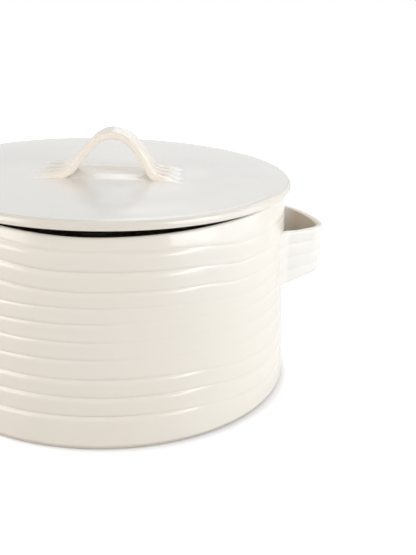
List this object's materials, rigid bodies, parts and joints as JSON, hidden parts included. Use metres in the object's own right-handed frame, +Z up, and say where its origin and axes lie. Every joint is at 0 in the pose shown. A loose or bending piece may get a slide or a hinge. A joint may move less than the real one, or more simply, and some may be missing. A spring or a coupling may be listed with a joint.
{
  "type": "covered casserole dish",
  "caption": "Round straight-sided stoneware casserole with a flat lift-off lid, a strap handle on the lid and a strap loop handle at each side.",
  "frame": {"origin": "centre of the pot's base, on the surface that it stands on", "axes": "+X through the right side handle, +Z up, the front faces -Y"},
  "size_m": [0.296, 0.2479, 0.1721],
  "materials": {
    "pot_glaze": "gloss cream-white glaze",
    "handle_glaze": "gloss cream-white glaze",
    "lid_glaze": "gloss cream-white glaze",
    "lid_handle_glaze": "gloss cream-white glaze"
  },
  "bodies": {
    "pot": {"pot_body": "pot_glaze", "side_handle_right": "handle_glaze", "side_handle_left": "handle_glaze"},
    "lid": {"lid_plate": "lid_glaze", "lid_flange": "lid_glaze", "lid_handle": "lid_handle_glaze"}
  },
  "joints": [
    {"name": "lid_lift", "type": "slide", "parent": "pot", "child": "lid", "axis": [0, 0, 1], "range_m": [0, 0.2]}
  ]
}
